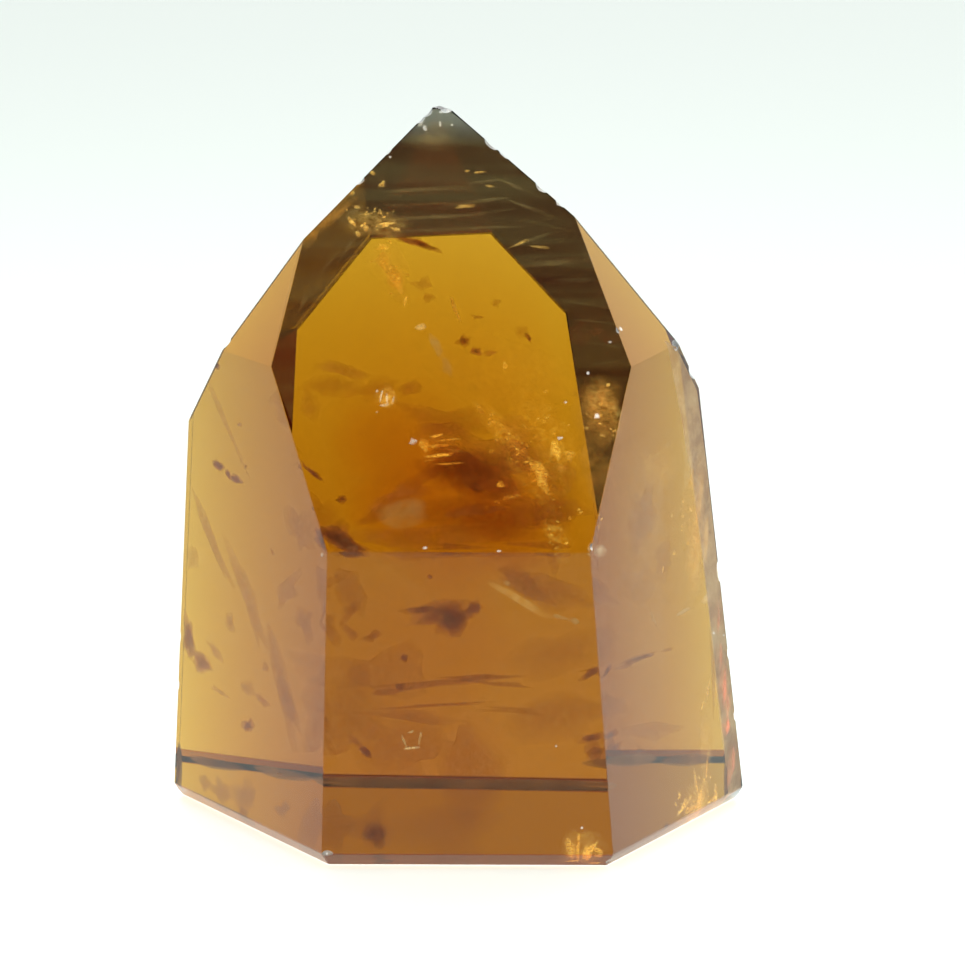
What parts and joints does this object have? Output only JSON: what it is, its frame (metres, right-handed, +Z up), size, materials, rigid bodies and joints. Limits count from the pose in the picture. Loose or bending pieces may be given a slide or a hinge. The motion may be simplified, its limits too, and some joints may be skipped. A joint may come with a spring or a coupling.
{
  "type": "citrine crystal point",
  "caption": "Stout hexagonal crystal point with a faceted pyramid tip, ground flat below so that it stands upright.",
  "frame": {"origin": "on the flat resting face, below the crystal's axis", "axes": "+Z up out of the resting face towards the tip, -Y out of the large front face, +X to the right"},
  "size_m": [0.0364, 0.029, 0.0446],
  "materials": {
    "citrine": "polished clear golden-brown quartz with natural veils and a darker tip"
  },
  "bodies": {
    "root": {"crystal_point": "citrine"}
  },
  "joints": []
}
